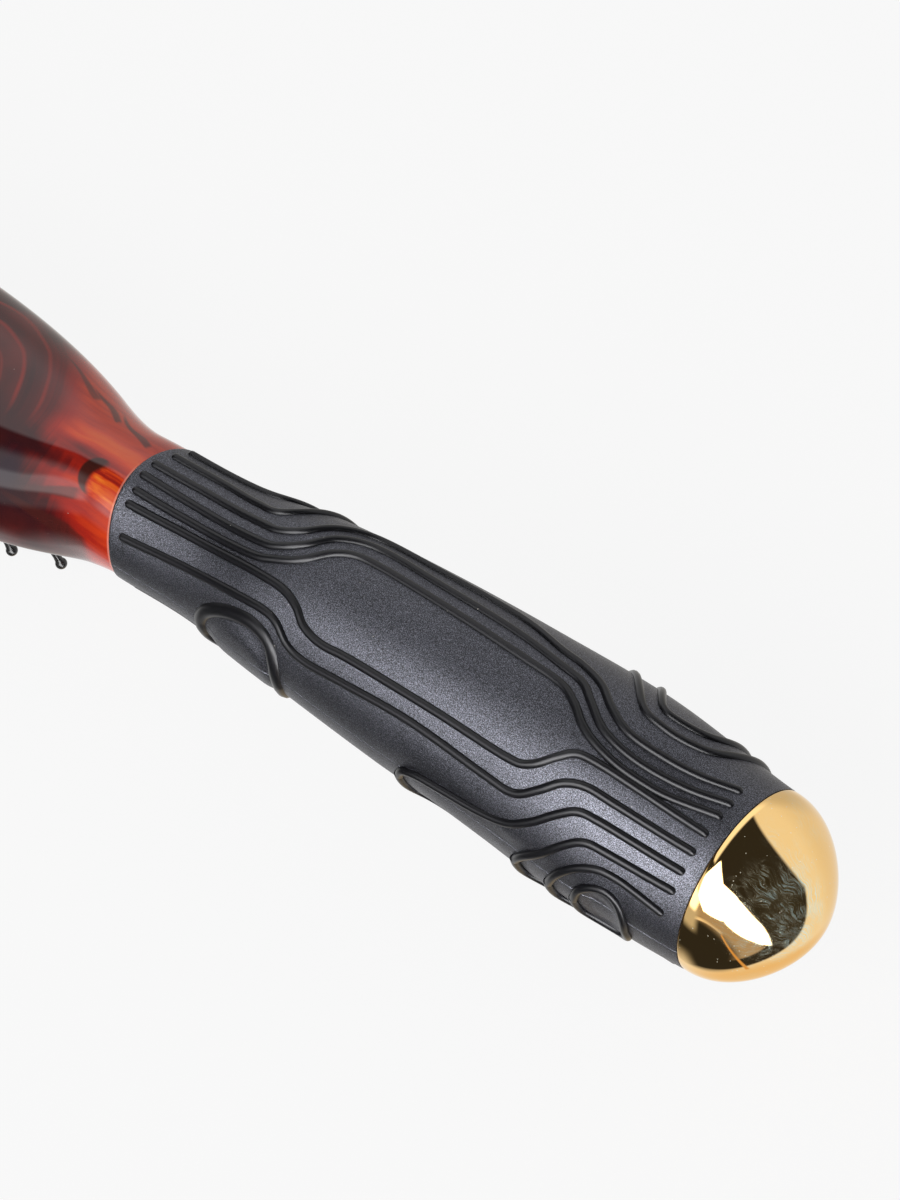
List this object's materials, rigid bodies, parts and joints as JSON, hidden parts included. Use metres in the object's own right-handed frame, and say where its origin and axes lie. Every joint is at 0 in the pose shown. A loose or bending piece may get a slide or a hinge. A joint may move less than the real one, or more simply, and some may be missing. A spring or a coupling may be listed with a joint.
{
  "type": "detangling hair brush",
  "caption": "Oval cushion hair brush with ball-tipped pins, a swirled tortoiseshell head, a ribbed rubber grip and a domed gold end cap.",
  "frame": {"origin": "under the middle of the brush's overall length, on its mirror plane, at the height of the lowest pin tips", "axes": "+X along the handle from the head to the end cap, +Z out of the back of the head, pins point to -Z, +Y to the side"},
  "size_m": [0.2364, 0.038, 0.0456],
  "materials": {
    "tortoiseshell": "high gloss moulded plastic, translucent orange-red with dark brown swirls",
    "grip_rubber": "satin black moulded rubber with fine sparkle and raised flowing ribs",
    "gold_plate": "mirror polished gold plate",
    "cushion_rubber": "smooth black rubber membrane",
    "pin_nylon": "semi-gloss black nylon"
  },
  "bodies": {
    "handle": {"brush_body": "tortoiseshell", "grip_sleeve": "grip_rubber", "end_cap": "gold_plate"},
    "pin_bed": {"cushion": "cushion_rubber", "pin_row_01": "pin_nylon", "pin_row_02": "pin_nylon", "pin_row_03": "pin_nylon", "pin_row_04": "pin_nylon", "pin_row_05": "pin_nylon", "pin_row_06": "pin_nylon", "pin_row_07": "pin_nylon", "pin_row_08": "pin_nylon", "pin_row_09": "pin_nylon", "pin_row_10": "pin_nylon", "pin_row_11": "pin_nylon", "pin_row_12": "pin_nylon", "pin_row_13": "pin_nylon", "pin_row_14": "pin_nylon", "pin_row_15": "pin_nylon", "pin_row_16": "pin_nylon", "pin_row_17": "pin_nylon", "pin_row_18": "pin_nylon", "pin_row_19": "pin_nylon", "pin_row_20": "pin_nylon", "pin_row_21": "pin_nylon"}
  },
  "joints": [
    {"name": "cushion_press", "type": "slide", "parent": "handle", "child": "pin_bed", "axis": [0, 0, 1], "range_m": [0, 0.0025], "stiffness_N_per_m": 3000, "deforming": ["cushion"]}
  ]
}
